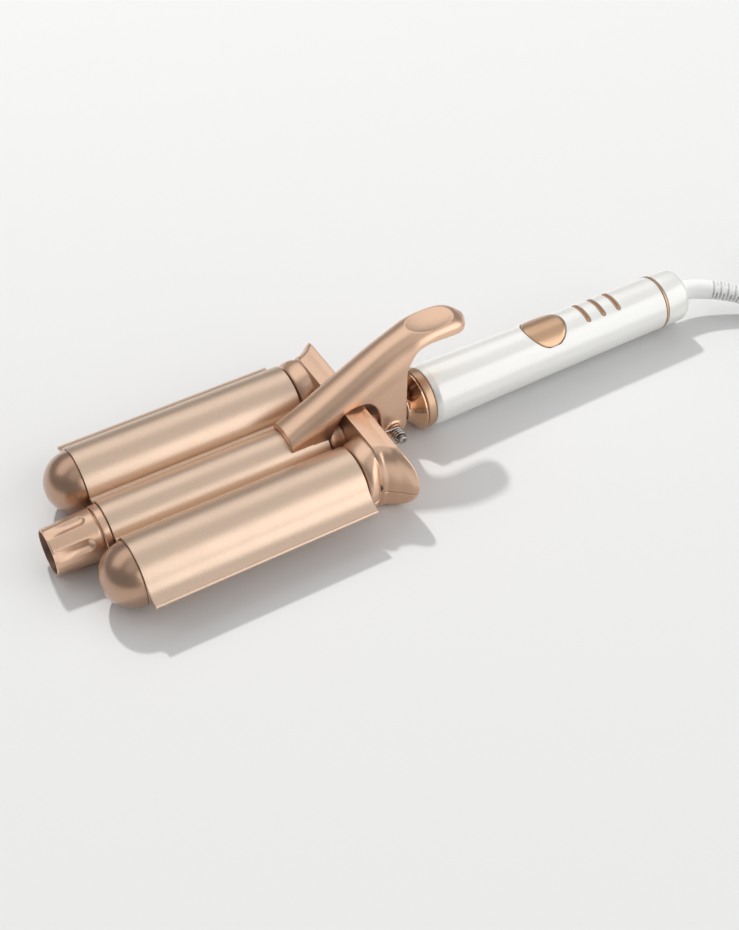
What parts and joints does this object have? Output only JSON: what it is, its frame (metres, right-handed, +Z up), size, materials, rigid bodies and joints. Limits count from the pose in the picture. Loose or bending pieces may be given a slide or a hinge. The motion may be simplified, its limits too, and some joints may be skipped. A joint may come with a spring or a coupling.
{
  "type": "hair waver",
  "caption": "Hair waver: parallel round barrels under a lever-worked clamp plate, with a hollow cool tip, a round handle with a power button, and a mains cord coiled beside it",
  "frame": {"origin": "middle of the tool's box without the cord, on the surface that the tool lies on", "axes": "+X runs from the barrel tips to the handle and cord, +Y to the tool's far side as the picture shows it, +Z up"},
  "size_m": [0.5047, 0.188, 0.0665],
  "materials": {
    "rose_gold_plate": "light champagne rose gold coat, satin metallic",
    "rose_gold_barrel": "rose gold ceramic coat, satin metallic",
    "rose_gold_moulded": "rose gold metallic paint on moulded resin, satin",
    "rose_gold_mirror": "polished rose gold plating",
    "pearl_plastic": "pearl white, soft gloss",
    "white_rubber": "white, matte",
    "bright_steel": "bright plated steel",
    "neck_steel": "steel tube in rose gold tint, satin",
    "spreader_aluminium": "drawn aluminium, satin",
    "heater_ceramic": "fired ceramic, matte",
    "dark_resin": "moulded heat-resistant resin, matte",
    "board_green": "solder mask, semi-matte",
    "lamp_clear": "clear lamp resin"
  },
  "bodies": {
    "root": {"barrel_far": "rose_gold_barrel", "barrel_near": "rose_gold_barrel", "barrel_middle": "rose_gold_barrel", "ball_cap_far": "rose_gold_moulded", "ball_cap_near": "rose_gold_moulded", "cool_tip": "rose_gold_moulded", "tip_collar": "rose_gold_moulded", "bracket_upper": "rose_gold_moulded", "bracket_lower": "rose_gold_moulded", "front_ring": "rose_gold_moulded", "rear_ring": "rose_gold_moulded", "light_window_1": "rose_gold_moulded", "light_window_2": "rose_gold_moulded", "light_window_3": "rose_gold_moulded", "neck_bell": "rose_gold_mirror", "pivot_washer_far": "rose_gold_mirror", "pivot_washer_near": "rose_gold_mirror", "handle_shell": "pearl_plastic", "end_cap": "pearl_plastic", "strain_relief": "white_rubber", "cord_lead": "white_rubber", "cord_coil": "white_rubber", "cord_tail": "white_rubber", "plug_body": "white_rubber", "inner_cord": "white_rubber", "pivot_screw_far": "bright_steel", "pivot_screw_near": "bright_steel", "pivot_spring": "bright_steel", "button_spring": "bright_steel", "bracket_screw_1": "bright_steel", "bracket_screw_2": "bright_steel", "bracket_screw_3": "bright_steel", "bracket_screw_4": "bright_steel", "plug_pin_1": "bright_steel", "plug_pin_2": "bright_steel", "neck_tube": "neck_steel", "heat_spreader_far": "spreader_aluminium", "heat_spreader_near": "spreader_aluminium", "heat_spreader_middle": "spreader_aluminium", "flat_heater_far": "heater_ceramic", "flat_heater_near": "heater_ceramic", "flat_heater_middle": "heater_ceramic", "thermal_fuse": "heater_ceramic", "barrel_insulator_far": "dark_resin", "barrel_insulator_near": "dark_resin", "barrel_insulator_middle": "dark_resin", "heater_leads": "dark_resin", "power_switch": "dark_resin", "inner_tray": "dark_resin", "cord_clamp": "dark_resin", "cord_tie_1": "dark_resin", "cord_tie_2": "dark_resin", "circuit_board": "board_green", "indicator_strip": "lamp_clear"},
    "clamp": {"clamp_plate": "rose_gold_plate", "clamp_lever": "rose_gold_moulded", "foot_rivet_1": "bright_steel", "foot_rivet_2": "bright_steel"},
    "power_button": {"power_button": "rose_gold_moulded"}
  },
  "joints": [
    {"name": "clamp_hinge", "type": "hinge", "parent": "root", "child": "clamp", "pos_m": [-0.00235, 0, 0.013], "axis": [0, 1, 0], "range_deg": [0, 18], "stiffness_Nm_per_rad": 0.6, "springref_deg": -34.38},
    {"name": "power_button_press", "type": "slide", "parent": "root", "child": "power_button", "axis": [0, 0, -1], "range_m": [0, 0.0008], "stiffness_N_per_m": 1500, "springref_m": -0.0006}
  ]
}
